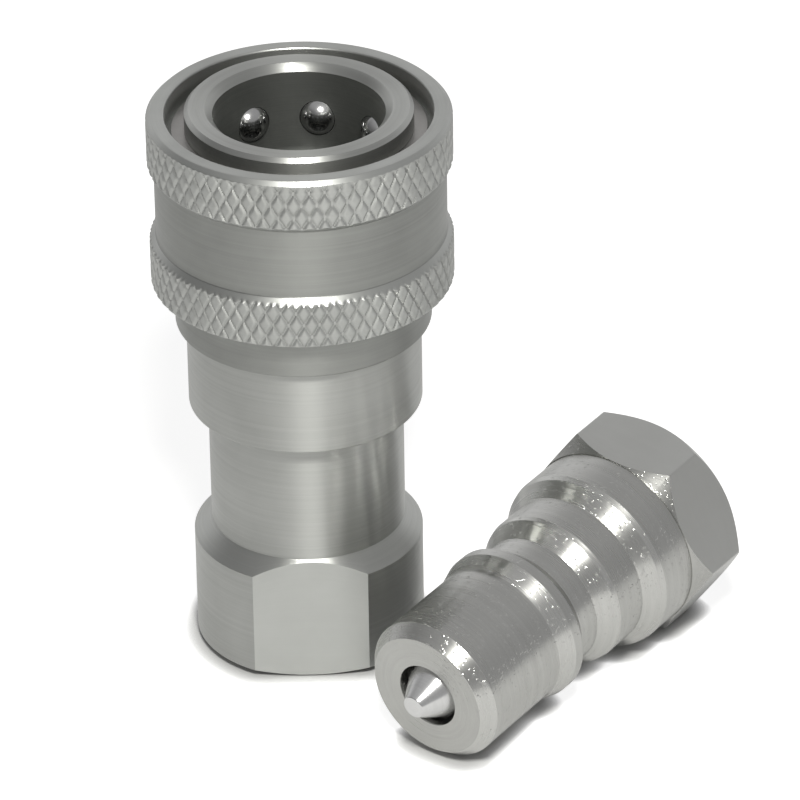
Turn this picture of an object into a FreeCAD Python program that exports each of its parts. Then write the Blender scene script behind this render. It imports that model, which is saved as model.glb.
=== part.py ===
import FreeCAD, Part
import math
import os

# Hydraulic quick coupler: a socket that stands on its foot and a plug that lies beside it.
# Millimetres. The socket's axis is +Z and its foot is on Z = 0.
# Along the plug and its valve, heights are counted from the nose face towards the hex.

# Shared sizes
edge_break = 0.2               # round on turned edges
port_radius = 7.5              # core of the pipe thread in both ports
port_countersink = 1.1
running_clearance = 0.1        # between turned faces that slide on each other
close_clearance = 0.05         # between pieces that locate each other

# Plug, outside
plug_hex_across_flats = 21.8
plug_nose_radius = 8.34
plug_nose_chamfer = 1.2        # radial size of the chamfer round the nose face
plug_nose_chamfer_length = 1.5
plug_ramp_start = 12.45        # where the nose starts to rise to the locking land
plug_ramp_length = 2.39
plug_ramp_round = 3.0
plug_land_radius = 9.06
plug_land_length = 0.98
plug_groove_relief = 0.4       # left under a locked ball at the floor of the ball groove
plug_groove_end = 19.8
plug_guide_start = 22.95       # front collar, which fits the bore
plug_guide_step = 0.16         # height of the front collar above the land
plug_collar_start = 26.45      # foot of the cone up to the rear collar
plug_collar_radius = 10.8
plug_collar_cone = 2.85
plug_hex_start = 34.0
plug_hex_length = 8.3
plug_port_depth = 14.1

# Where the plug lies
plug_nose_x = 12.3
plug_nose_y = -27.98
plug_azimuth = 39.31           # degrees from +Y towards +X

# Valve, the same in both halves
valve_hole_radius = 3.7
valve_hole_length = 2.0
valve_chamber_radius = 5.9
poppet_tip_radius = 1.25
poppet_tip_reach = 2.5         # how far the tip stands out of the face
poppet_tip_length = 3.5
poppet_neck_gap = 0.4          # round the neck in the valve's hole
poppet_flow_gap = 0.5          # round the head in the chamber
poppet_head_end = 6.0
poppet_boss_gap = 0.25         # between the boss and the spring that it centres
poppet_boss_length = 1.5
poppet_stem_radius = 1.8
poppet_seat_gap = 0.2          # between the metal cones, which the seal closes
poppet_seal_section = 0.55     # radius of the seal's cord
valve_spring_length = 18.0
valve_spring_radius = 4.4      # to the middle of the wire
valve_spring_wire = 0.9
valve_spring_half_turns = 12
guide_rim_seat = 0.95          # how far the rim reaches past the chamber
guide_rim_width = 1.6
guide_thickness = 1.6
guide_hub_radius = 3.0
guide_hub_rise = 3.0           # hub length inside the spring
guide_arm_width = 2.6
guide_arm_count = 3
stem_overhang = 0.6            # stem length that shows past the guide
guide_ring_thickness = 0.9
guide_ring_width = 1.9
guide_ring_gap_angle = 40.0

# Locking balls
ball_radius = 2.381
ball_count = 8
ball_first_angle = 12.5        # degrees from +Y towards +X
ball_engagement = 0.9          # how far a ball reaches inside the plug's land
ball_hole_clearance = 0.05

# Socket, outside
foot_inset = 0.148             # round foot inside the collar's outline
foot_flat_depth = 1.702        # how deep the two wrench flats are cut
neck_step = 0.25               # neck inside the wrench flats
foot_height = 15.1             # floor to the top of the foot's crown
foot_break = 0.7
neck_length = 14.85
collar_length = 11.55
collar_wall = 2.6              # round the body's spigot
socket_port_depth = 12.5
guide_ledge = 0.9              # ledge that the valve guide stands on

# Socket, front body
ball_stand_out = 0.572         # how far a locked ball stands out of the nose
nose_edge_round = 0.45
mouth_chamfer = 0.83           # radial size of the lead-in at the mouth
mouth_lead_length = 0.8
nose_above_ball = 6.4
ball_above_flange = 7.0
spigot_length = 10.0
nose_face_gap = 0.6            # left under the plug's face when it is locked
bore_seal_section = 0.88       # radius of the bore seal's cord
bore_seal_squeeze = 0.2        # how far the seal stands into the bore
bore_seal_height = 5.0         # groove floor above the bore's floor
bore_groove_width = 3.8
backup_thickness = 1.2
joint_seal_section = 0.54
joint_groove_drop = 3.6        # groove top under the body's shoulder
joint_groove_width = 1.6

# Release sleeve and what moves with it
sleeve_travel = 5.2
sleeve_drop = 1.4              # tail edge under the collar's top
sleeve_tail_length = 5.1
sleeve_tail_wall = 1.05
counterbore_gap = 0.59         # outside a released ball
sleeve_rim_width = 2.038       # from the counterbore to the knurl
sleeve_knurl_length = 4.9
sleeve_waist_depth = 0.7
sleeve_knurl_flank = 0.9       # height of the cone from a knurl to the waist
sleeve_top_chamfer = 0.5
sleeve_flange_height = 0.5     # step from the tail's bore to the flange's
sleeve_flange_length = 4.3
sleeve_below_nose = 0.55       # sleeve top under the nose top
sleeve_spring_length = 10.0
sleeve_spring_wire = 1.2
sleeve_spring_gap = 0.275      # on each side of the wire
sleeve_spring_half_turns = 6
washer_thickness = 0.8
ring_above_ball = 3.1
ring_thickness = 0.8
ring_depth = 0.45              # groove depth in the nose
ring_catch = 0.18              # how far the ring reaches over the sleeve's shoulder
ring_gap_angle = 24.0

# Derived: plug. It rests on the edge of its nose, its rear collar and one corner of the hex.
hex_corner_share = 1 / math.cos(math.pi / 6)
plug_hex_radius = plug_hex_across_flats / 2
plug_corner_radius = plug_hex_radius * hex_corner_share
plug_crown = plug_corner_radius - plug_hex_radius
plug_length = plug_hex_start + plug_hex_length
plug_land_start = plug_ramp_start + plug_ramp_length
plug_land_end = plug_land_start + plug_land_length
plug_groove_radius = plug_land_radius - ball_engagement - plug_groove_relief
plug_guide_radius = plug_land_radius + plug_guide_step
plug_collar_front = plug_collar_start + plug_collar_cone
plug_lean = (plug_collar_radius - plug_nose_radius) / (plug_collar_front - plug_nose_chamfer_length)
plug_tilt = math.atan(plug_lean)
plug_nose_z = plug_nose_radius * math.cos(plug_tilt) - plug_nose_chamfer_length * math.sin(plug_tilt)
corner_drop = plug_nose_radius + plug_lean * (plug_hex_start + plug_crown - plug_nose_chamfer_length)
plug_roll = math.acos(min(1.0, corner_drop / plug_corner_radius)) - math.pi / 6

# Derived: valve
seat_end = valve_hole_length + valve_chamber_radius - valve_hole_radius
poppet_neck_radius = valve_hole_radius - poppet_neck_gap
poppet_head_radius = valve_chamber_radius - poppet_flow_gap
poppet_boss_radius = valve_spring_radius - valve_spring_wire / 2 - poppet_boss_gap
guide_rim_radius = valve_chamber_radius + guide_rim_seat
guide_front = poppet_head_end + valve_spring_length
guide_back = guide_front + guide_thickness
guide_pocket_radius = guide_rim_radius + close_clearance
passage_radius = guide_pocket_radius - guide_ledge
guide_ring_front = guide_back + close_clearance
guide_ring_groove_radius = guide_pocket_radius + ring_depth
stem_end = guide_back + stem_overhang

# Derived: ball lock. A locked ball rests on the 45 degree slope behind the plug's land.
slope_reach = ball_radius * math.sin(math.pi / 4)
ball_rest_radius = plug_land_radius - ball_engagement + ball_radius
ball_travel = ball_engagement + close_clearance
ball_hole_radius = ball_radius + ball_hole_clearance
ball_along_plug = plug_land_end + plug_land_radius - (ball_rest_radius - slope_reach) + slope_reach
land_slope = ball_travel / sleeve_travel

# Derived: heights in the socket
collar_bottom_z = foot_height + neck_length
collar_top_z = collar_bottom_z + collar_length
spigot_end_z = collar_top_z - spigot_length
washer_z = collar_top_z + sleeve_spring_length
flange_z = washer_z + washer_thickness
ball_z = flange_z + ball_above_flange
nose_top_z = ball_z + nose_above_ball
ring_z = ball_z + ring_above_ball
shoulder_z = ring_z - close_clearance
sleeve_top_z = nose_top_z - sleeve_below_nose
sleeve_bottom_z = collar_top_z - sleeve_drop
nose_face_z = ball_z - ball_along_plug
floor_z = nose_face_z - nose_face_gap
guide_seat_z = floor_z - guide_back

# Derived: radii in the socket
bore_radius = plug_guide_radius + running_clearance
seal_bore_radius = plug_nose_radius + running_clearance
bore_seal_radius = seal_bore_radius - bore_seal_squeeze + bore_seal_section
bore_groove_radius = bore_seal_radius + bore_seal_section + close_clearance
nose_radius = ball_rest_radius + ball_radius - ball_stand_out
collar_radius = nose_radius + sleeve_flange_height
foot_radius = collar_radius - foot_inset
foot_flat_distance = foot_radius - foot_flat_depth
neck_radius = foot_flat_distance - neck_step
tail_bore_radius = collar_radius + running_clearance
tail_radius = tail_bore_radius + sleeve_tail_wall
counterbore_radius = ball_rest_radius + ball_travel + ball_radius + counterbore_gap
sleeve_knurl_radius = counterbore_radius + sleeve_rim_width
waist_radius = sleeve_knurl_radius - sleeve_waist_depth
flange_bore_radius = nose_radius + running_clearance
spring_zone_radius = tail_bore_radius - sleeve_spring_wire - 2 * sleeve_spring_gap
spigot_bore_radius = collar_radius - collar_wall
spigot_radius = spigot_bore_radius - close_clearance
ring_groove_radius = nose_radius - ring_depth


def land_radius_at(height):
    """Inner radius of the sleeve's taper that a ball follows as the sleeve slides back."""
    reach = ball_radius * math.hypot(1, land_slope) + close_clearance
    return ball_rest_radius + land_slope * (height - ball_z) + reach


def turned(corners):
    """Solid of revolution about Z from a closed half section of (radius, height, edge round) corners."""
    points = [FreeCAD.Vector(corner[0], 0, corner[1]) for corner in corners]
    rounds = [corner[2] if len(corner) > 2 else 0 for corner in corners]
    starts, ends, arcs = [], [], []
    for index, point in enumerate(points):
        before = (points[index - 1] - point).normalize()
        after = (points[(index + 1) % len(points)] - point).normalize()
        half = before.getAngle(after) / 2
        size = rounds[index]
        starts.append(point + before * (size / math.tan(half)))
        ends.append(point + after * (size / math.tan(half)))
        middle = point + (before + after).normalize() * (size / math.sin(half) - size)
        arcs.append(Part.Arc(starts[-1], middle, ends[-1]).toShape() if size else None)
    edges = []
    for index, arc in enumerate(arcs):
        if arc:
            edges.append(arc)
        following = starts[(index + 1) % len(points)]
        if ends[index].distanceToPoint(following) > 1e-6:
            edges.append(Part.LineSegment(ends[index], following).toShape())
    face = Part.Face(Part.Wire(edges))
    return face.revolve(FreeCAD.Vector(0, 0, 0), FreeCAD.Vector(0, 0, 1), 360)


def hexagon_bar(corner_radius, bottom, top):
    """Hexagon bar with one corner on +X."""
    corners = []
    for index in range(7):
        angle = index * math.pi / 3
        corners.append(FreeCAD.Vector(corner_radius * math.cos(angle),
                                      corner_radius * math.sin(angle), bottom))
    return Part.Face(Part.makePolygon(corners)).extrude(FreeCAD.Vector(0, 0, top - bottom))


def flat_ring(inner, outer, bottom, thickness, gap_angle=0):
    """Flat ring, split by a gap that faces +Y when an angle is given."""
    half_gap = gap_angle / 2
    section = Part.Face(Part.makePolygon([FreeCAD.Vector(inner, 0, bottom),
                                          FreeCAD.Vector(outer, 0, bottom),
                                          FreeCAD.Vector(outer, 0, bottom + thickness),
                                          FreeCAD.Vector(inner, 0, bottom + thickness),
                                          FreeCAD.Vector(inner, 0, bottom)]))
    section.rotate(FreeCAD.Vector(0, 0, 0), FreeCAD.Vector(0, 0, 1), 90 + half_gap)
    return section.revolve(FreeCAD.Vector(0, 0, 0), FreeCAD.Vector(0, 0, 1), 360 - gap_angle)


def coil_spring(radius, wire, half_turns, bottom, top):
    """Compression spring of leaning half rings that meet along Y, with a flat half ring on each seat."""
    low = bottom + wire / 2 + close_clearance
    rise = (top - bottom - wire - 2 * close_clearance) / half_turns
    heights = [low] + [low + rise * step for step in range(half_turns + 1)] + [low + rise * half_turns]
    rings = []
    for index in range(half_turns + 2):
        side = -1 if index % 2 else 1
        start = FreeCAD.Vector(side * radius, 0, heights[index])
        centre = FreeCAD.Vector(0, 0, (heights[index] + heights[index + 1]) / 2)
        onward = FreeCAD.Vector(0, side, 0)
        section = Part.Face(Part.Wire(Part.Circle(start, onward, wire / 2).toShape()))
        rings.append(section.revolve(centre, (start - centre).cross(onward), 180))
    return rings[0].multiFuse(rings[1:]).removeSplitter()


def radial(radius, angle, height):
    """Point at an angle in degrees counted from +Y towards +X."""
    turn = math.radians(angle)
    return FreeCAD.Vector(radius * math.sin(turn), radius * math.cos(turn), height)


# Valve pieces, along +Z from the face that they close
def poppet():
    cone_drop = poppet_seat_gap * math.sqrt(2)
    cone_start = valve_hole_length + cone_drop - (valve_hole_radius - poppet_neck_radius)
    cone_end = cone_start + poppet_head_radius - poppet_neck_radius
    tip_base = poppet_tip_length - poppet_tip_reach
    body = turned([(0, -poppet_tip_reach),
                   (poppet_tip_radius, -poppet_tip_reach, edge_break),
                   (poppet_neck_radius, tip_base),
                   (poppet_neck_radius, cone_start),
                   (poppet_head_radius, cone_end, edge_break),
                   (poppet_head_radius, poppet_head_end, edge_break),
                   (poppet_boss_radius, poppet_head_end),
                   (poppet_boss_radius, poppet_head_end + poppet_boss_length, edge_break),
                   (poppet_stem_radius, poppet_head_end + poppet_boss_length),
                   (poppet_stem_radius, stem_end, edge_break),
                   (0, stem_end)])
    return body.cut(poppet_seal(close_clearance))


def poppet_seal(growth=0.0):
    # The cord's middle lies one cord radius behind the middle of the seat's cone
    inset = (poppet_seal_section + close_clearance) * math.sin(math.pi / 4)
    radius = (valve_hole_radius + valve_chamber_radius) / 2 - inset
    height = (valve_hole_length + seat_end) / 2 + inset
    return Part.makeTorus(radius, poppet_seal_section + growth, FreeCAD.Vector(0, 0, height))


def valve_spring():
    return coil_spring(valve_spring_radius, valve_spring_wire, valve_spring_half_turns,
                       poppet_head_end, guide_front)


def valve_guide():
    bore = poppet_stem_radius + close_clearance
    rim_inner = guide_rim_radius - guide_rim_width
    guide = flat_ring(rim_inner, guide_rim_radius, guide_front, guide_thickness)
    guide = guide.fuse(flat_ring(bore, guide_hub_radius, guide_front - guide_hub_rise,
                                 guide_thickness + guide_hub_rise))
    arm_start = (bore + guide_hub_radius) / 2
    arm_length = rim_inner + guide_rim_width / 2 - arm_start
    for index in range(guide_arm_count):
        arm = Part.makeBox(arm_length, guide_arm_width, guide_thickness,
                           FreeCAD.Vector(arm_start, -guide_arm_width / 2, guide_front))
        arm.rotate(FreeCAD.Vector(0, 0, 0), FreeCAD.Vector(0, 0, 1), 360 * index / guide_arm_count)
        guide = guide.fuse(arm)
    return guide.removeSplitter()


def valve_bore(chamber_end):
    """Corners of the valve's hole, seat and chamber, from the face inwards."""
    return [(valve_hole_radius, 0), (valve_hole_radius, valve_hole_length),
            (valve_chamber_radius, seat_end), (valve_chamber_radius, chamber_end)]


# Plug pieces, along +Z from the nose face
def plug_body():
    slope_end = plug_land_end + plug_land_radius - plug_groove_radius
    outside = [(plug_nose_radius - plug_nose_chamfer, 0),
               (plug_nose_radius, plug_nose_chamfer_length, edge_break),
               (plug_nose_radius, plug_ramp_start, plug_ramp_round),
               (plug_land_radius, plug_land_start, edge_break),
               (plug_land_radius, plug_land_end, edge_break),
               (plug_groove_radius, slope_end, edge_break),
               (plug_groove_radius, plug_groove_end, edge_break),
               (plug_guide_radius, plug_guide_start, edge_break),
               (plug_guide_radius, plug_collar_start, edge_break),
               (plug_collar_radius, plug_collar_front, edge_break),
               (plug_collar_radius, plug_hex_start + plug_hex_length / 2)]
    stem = turned([(0, 0)] + outside + [(0, plug_hex_start + plug_hex_length / 2)])
    hexagon = hexagon_bar(plug_corner_radius, plug_hex_start, plug_length).common(
        turned([(0, plug_hex_start), (plug_hex_radius, plug_hex_start),
                (plug_corner_radius, plug_hex_start + plug_crown),
                (plug_corner_radius, plug_length - plug_crown),
                (plug_hex_radius, plug_length), (0, plug_length)]))
    port_start = plug_length - plug_port_depth
    ring_end = guide_ring_front + guide_ring_thickness + close_clearance
    bore = turned([(0, 0)] + valve_bore(guide_front)
                  + [(guide_pocket_radius, guide_front),
                     (guide_pocket_radius, guide_ring_front),
                     (guide_ring_groove_radius, guide_ring_front),
                     (guide_ring_groove_radius, ring_end),
                     (guide_pocket_radius, ring_end),
                     (guide_pocket_radius, port_start),
                     (port_radius, port_start),
                     (port_radius, plug_length - port_countersink),
                     (port_radius + port_countersink, plug_length),
                     (0, plug_length)])
    return stem.fuse(hexagon).removeSplitter().cut(bore)


def plug_guide_ring():
    outer = guide_ring_groove_radius - close_clearance
    return flat_ring(outer - guide_ring_width, outer, guide_ring_front, guide_ring_thickness,
                     guide_ring_gap_angle)


# Socket pieces, in place
def socket_adapter():
    crown = foot_radius - neck_radius
    foot = turned([(0, 0), (foot_radius - foot_break, 0), (foot_radius, foot_break),
                   (foot_radius, foot_height - crown), (neck_radius, foot_height), (0, foot_height)])
    between_flats = Part.makeBox(2 * foot_radius, 2 * foot_flat_distance, foot_height,
                                 FreeCAD.Vector(-foot_radius, -foot_flat_distance, 0))
    upper = turned([(0, foot_height / 2), (neck_radius, foot_height / 2), (neck_radius, collar_bottom_z),
                    (collar_radius, collar_bottom_z, edge_break), (collar_radius, collar_top_z, edge_break),
                    (0, collar_top_z)])
    bore = turned([(0, 0), (port_radius + port_countersink, 0), (port_radius, port_countersink),
                   (port_radius, socket_port_depth), (passage_radius, socket_port_depth),
                   (passage_radius, guide_seat_z), (guide_pocket_radius, guide_seat_z),
                   (guide_pocket_radius, spigot_end_z - close_clearance),
                   (spigot_bore_radius, spigot_end_z - close_clearance),
                   (spigot_bore_radius, collar_top_z), (0, collar_top_z)])
    return foot.common(between_flats).fuse(upper).removeSplitter().cut(bore)


def socket_body():
    joint_groove_top = collar_top_z - joint_groove_drop
    joint_groove_radius = spigot_radius - 2 * joint_seal_section
    bore_groove_z = floor_z + bore_seal_height
    step_z = nose_face_z + plug_ramp_start - nose_face_gap
    step_top_z = nose_face_z + plug_land_start - nose_face_gap
    shoulder = flange_z + close_clearance
    ring_groove_top = ring_z + ring_thickness + close_clearance
    seat = [(radius, floor_z - depth) for radius, depth in valve_bore(floor_z - spigot_end_z)]
    body = turned(seat
                  + [(spigot_radius, spigot_end_z, edge_break),
                     (spigot_radius, joint_groove_top - joint_groove_width),
                     (joint_groove_radius, joint_groove_top - joint_groove_width),
                     (joint_groove_radius, joint_groove_top),
                     (spigot_radius, joint_groove_top),
                     (spigot_radius, collar_top_z),
                     (spring_zone_radius, collar_top_z),
                     (spring_zone_radius, shoulder),
                     (nose_radius, shoulder, edge_break),
                     (nose_radius, shoulder_z),
                     (ring_groove_radius, shoulder_z),
                     (ring_groove_radius, ring_groove_top),
                     (nose_radius, ring_groove_top),
                     (nose_radius, nose_top_z, nose_edge_round),
                     (bore_radius + mouth_chamfer, nose_top_z, edge_break),
                     (bore_radius, nose_top_z - mouth_lead_length),
                     (bore_radius, step_top_z),
                     (seal_bore_radius, step_z),
                     (seal_bore_radius, bore_groove_z + bore_groove_width),
                     (bore_groove_radius, bore_groove_z + bore_groove_width),
                     (bore_groove_radius, bore_groove_z),
                     (seal_bore_radius, bore_groove_z),
                     (seal_bore_radius, floor_z)])
    # Each hole is a ball's own pocket, open outwards: the lip left at the bore keeps the ball in
    for index in range(ball_count):
        angle = ball_first_angle + 360 * index / ball_count
        centre = radial(ball_rest_radius, angle, ball_z)
        pocket = Part.makeSphere(ball_hole_radius, centre)
        way_out = Part.makeCylinder(ball_hole_radius, nose_radius, centre, radial(1, angle, 0))
        body = body.cut(pocket.fuse(way_out))
    return body


def release_sleeve():
    lower_knurl_z = sleeve_bottom_z + sleeve_tail_length
    lower_waist_z = lower_knurl_z + sleeve_knurl_length + sleeve_knurl_flank
    upper_knurl_top = sleeve_top_z - sleeve_top_chamfer
    upper_knurl_z = upper_knurl_top - sleeve_knurl_length
    land_top_z = flange_z + sleeve_flange_length
    taper_z = ball_z - ball_radius * math.sin(math.atan(land_slope)) - running_clearance
    return turned([(tail_bore_radius, sleeve_bottom_z, edge_break),
                   (tail_radius, sleeve_bottom_z, edge_break),
                   (tail_radius, lower_knurl_z),
                   (sleeve_knurl_radius, lower_knurl_z, edge_break),
                   (sleeve_knurl_radius, lower_knurl_z + sleeve_knurl_length),
                   (waist_radius, lower_waist_z),
                   (waist_radius, upper_knurl_z - sleeve_waist_depth),
                   (sleeve_knurl_radius, upper_knurl_z),
                   (sleeve_knurl_radius, upper_knurl_top),
                   (sleeve_knurl_radius - sleeve_top_chamfer, sleeve_top_z, edge_break),
                   (counterbore_radius, sleeve_top_z, edge_break),
                   (counterbore_radius, shoulder_z),
                   (land_radius_at(shoulder_z), shoulder_z),
                   (land_radius_at(taper_z), taper_z),
                   (land_radius_at(taper_z), land_top_z),
                   (flange_bore_radius, land_top_z),
                   (flange_bore_radius, flange_z),
                   (tail_bore_radius, flange_z)])


def spring_washer():
    return flat_ring(spring_zone_radius + running_clearance, tail_bore_radius - running_clearance,
                     washer_z, washer_thickness)


def sleeve_spring():
    middle = (spring_zone_radius + tail_bore_radius) / 2
    return coil_spring(middle, sleeve_spring_wire, sleeve_spring_half_turns, collar_top_z, washer_z)


def sleeve_retaining_ring():
    return flat_ring(ring_groove_radius + close_clearance, land_radius_at(shoulder_z) + ring_catch,
                     ring_z, ring_thickness, ring_gap_angle)


def bore_o_ring():
    height = floor_z + bore_seal_height + bore_seal_section + close_clearance
    return Part.makeTorus(bore_seal_radius, bore_seal_section, FreeCAD.Vector(0, 0, height))


def bore_backup_ring():
    bottom = floor_z + bore_seal_height + 2 * (bore_seal_section + close_clearance)
    return flat_ring(seal_bore_radius + close_clearance, bore_groove_radius - close_clearance,
                     bottom, backup_thickness)


def joint_o_ring():
    middle = collar_top_z - joint_groove_drop - joint_groove_width / 2
    return Part.makeTorus(spigot_radius - joint_seal_section, joint_seal_section - close_clearance / 2,
                          FreeCAD.Vector(0, 0, middle))


def in_plug(shape):
    """Lay a piece of the plug on the floor."""
    turn = FreeCAD.Rotation(FreeCAD.Vector(0, 0, 1), -plug_azimuth)
    lean = FreeCAD.Rotation(FreeCAD.Vector(1, 0, 0), math.degrees(plug_tilt) - 90)
    roll = FreeCAD.Rotation(FreeCAD.Vector(0, 0, 1), -math.degrees(plug_roll))
    nose = FreeCAD.Vector(plug_nose_x, plug_nose_y, plug_nose_z)
    shape.Placement = FreeCAD.Placement(nose, turn * lean * roll)
    return shape


def in_socket(shape):
    """Turn a valve piece tip upwards under the floor of the socket's bore."""
    flip = FreeCAD.Rotation(FreeCAD.Vector(1, 0, 0), 180)
    shape.Placement = FreeCAD.Placement(FreeCAD.Vector(0, 0, floor_z), flip)
    return shape


pieces = {
    "socket_adapter": socket_adapter(),
    "socket_body": socket_body(),
    "release_sleeve": release_sleeve(),
    "spring_washer": spring_washer(),
    "sleeve_spring": sleeve_spring(),
    "sleeve_retaining_ring": sleeve_retaining_ring(),
    "bore_o_ring": bore_o_ring(),
    "bore_backup_ring": bore_backup_ring(),
    "joint_o_ring": joint_o_ring(),
    "socket_poppet": in_socket(poppet()),
    "socket_poppet_seal": in_socket(poppet_seal()),
    "socket_poppet_spring": in_socket(valve_spring()),
    "socket_valve_guide": in_socket(valve_guide()),
    "plug_body": in_plug(plug_body()),
    "plug_poppet": in_plug(poppet()),
    "plug_poppet_seal": in_plug(poppet_seal()),
    "plug_poppet_spring": in_plug(valve_spring()),
    "plug_valve_guide": in_plug(valve_guide()),
    "plug_guide_ring": in_plug(plug_guide_ring()),
}
for number in range(ball_count):
    place = radial(ball_rest_radius, ball_first_angle + 360 * number / ball_count, ball_z)
    pieces[f"locking_ball_{number + 1}"] = Part.makeSphere(ball_radius, place)

os.makedirs("parts", exist_ok=True)
for name, solid in pieces.items():
    solid.exportStep(f"parts/{name}.step")
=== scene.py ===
import math
import bmesh
import bpy
import numpy as np
from mathutils import Matrix, Vector


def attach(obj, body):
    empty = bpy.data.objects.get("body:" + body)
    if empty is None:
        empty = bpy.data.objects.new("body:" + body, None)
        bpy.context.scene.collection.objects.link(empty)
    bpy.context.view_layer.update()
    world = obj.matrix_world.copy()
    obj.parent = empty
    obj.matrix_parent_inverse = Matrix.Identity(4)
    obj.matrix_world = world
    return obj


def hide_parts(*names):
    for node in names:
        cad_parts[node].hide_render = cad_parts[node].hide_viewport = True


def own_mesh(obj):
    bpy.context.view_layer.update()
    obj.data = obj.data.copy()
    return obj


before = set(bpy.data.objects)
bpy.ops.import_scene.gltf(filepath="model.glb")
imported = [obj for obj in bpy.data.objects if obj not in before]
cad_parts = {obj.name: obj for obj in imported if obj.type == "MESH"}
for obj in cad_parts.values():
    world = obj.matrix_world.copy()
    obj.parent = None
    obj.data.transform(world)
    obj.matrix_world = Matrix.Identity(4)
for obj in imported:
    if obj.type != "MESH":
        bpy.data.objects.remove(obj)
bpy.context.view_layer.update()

# Hydraulic quick coupler: the socket stands on its foot, the plug lies in front of it.
# Shapes are written in millimetres and put into the meshes in metres.
mm = 0.001
fullTurn = 2 * math.pi
sixth = math.pi / 3   # angle of one flat of a hexagon
edgeBreak = 0.2       # round on turned edges
tiny = 1e-9           # keeps a division from meeting zero
closeBy = 1e-6        # smaller differences don't count
straight = 0.9999     # cosine past which two edges count as one line
print("frame loaded:", len(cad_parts), "nodes")


# Directions scaled to a length of one
def unit(directions):
    return directions / np.maximum(np.linalg.norm(directions, axis=1, keepdims=True), tiny)


# Half section as one run of points. Each corner is (radius, height, round): the corner is cut back along
# both of its edges by round / tan(half angle) and bridged by an arc, and a support point stands just
# outside each end of the arc, so that the flats beside it stay flat when shaded.
def roundedProfile(corners, steps=4, support=0.05):
    rows = np.array([(*corner, 0.0)[:3] for corner in corners], float)
    point, size = rows[:, :2], rows[:, 2:]
    before = unit(np.roll(point, 1, axis=0) - point)
    after = unit(np.roll(point, -1, axis=0) - point)
    half = np.arccos(np.clip((before * after).sum(1, keepdims=True), -straight, straight)) / 2
    cut = size / np.tan(half)
    centre = point + unit(before + after) * size / np.sin(half)
    fromSide = point + before * cut - centre
    toSide = point + after * cut - centre
    sweep = (math.pi - 2 * half)[:, None]
    t = np.linspace(0, 1, steps + 1)[None, :, None]
    arc = (np.sin((1 - t) * sweep) * fromSide[:, None] + np.sin(t * sweep) * toSide[:, None]) / np.sin(sweep)
    held = cut + support
    run = np.concatenate([(point + before * held)[:, None], centre[:, None] + arc,
                          (point + after * held)[:, None]], axis=1)
    run = np.where(size[:, None] > 0, run, point[:, None]).reshape(-1, 2)
    apart = np.linalg.norm(np.diff(run, axis=0), axis=1) > closeBy
    return run[np.append(True, apart)]


# More rows on a run of points: every stretch longer than the step is divided evenly
def dividedRun(run, step):
    length = np.append(0, np.cumsum(np.linalg.norm(np.diff(run, axis=0), axis=1)))
    parts = np.maximum(1, np.ceil(np.diff(length) / step - closeBy)).astype(int)
    within = np.arange(parts.sum()) - np.repeat(np.cumsum(parts) - parts, parts)
    place = np.repeat(length[:-1], parts) + np.repeat(np.diff(length) / parts, parts) * within
    place = np.append(place, length[-1])
    return np.stack([np.interp(place, length, run[:, 0]), np.interp(place, length, run[:, 1])], 1)


# Angles in even steps round a full turn
def evenAngles(count):
    return np.arange(count) * fullTurn / count


# Triangle wave of period one: 0 at whole numbers and 1 half way between them
def triangleWave(x):
    return 1 - np.abs(2 * np.mod(x, 1) - 1)


# Points of a turned surface: x = radius cos(angle), y = radius sin(angle), z = height
def turnedGrid(radius, height, angle):
    radius, height, angle = np.broadcast_arrays(radius, height, angle[None, :])
    return np.stack([radius * np.cos(angle), radius * np.sin(angle), height], -1)


# Rows of a plain run of points, the same at every angle
def plainRows(run, angle):
    shape = (len(run), len(angle))
    return np.broadcast_to(run[:, :1], shape), np.broadcast_to(run[:, 1:], shape)


# Blocks of rows, each as radius and height, one above the other on one turned surface
def stackedGrid(blocks, angle):
    radius = np.concatenate([block[0] for block in blocks])
    height = np.concatenate([block[1] for block in blocks])
    return turnedGrid(radius, height, angle)


def addObject(name, data):
    holder = bpy.data.objects.new(name, data)
    bpy.context.scene.collection.objects.link(holder)
    return holder


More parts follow.
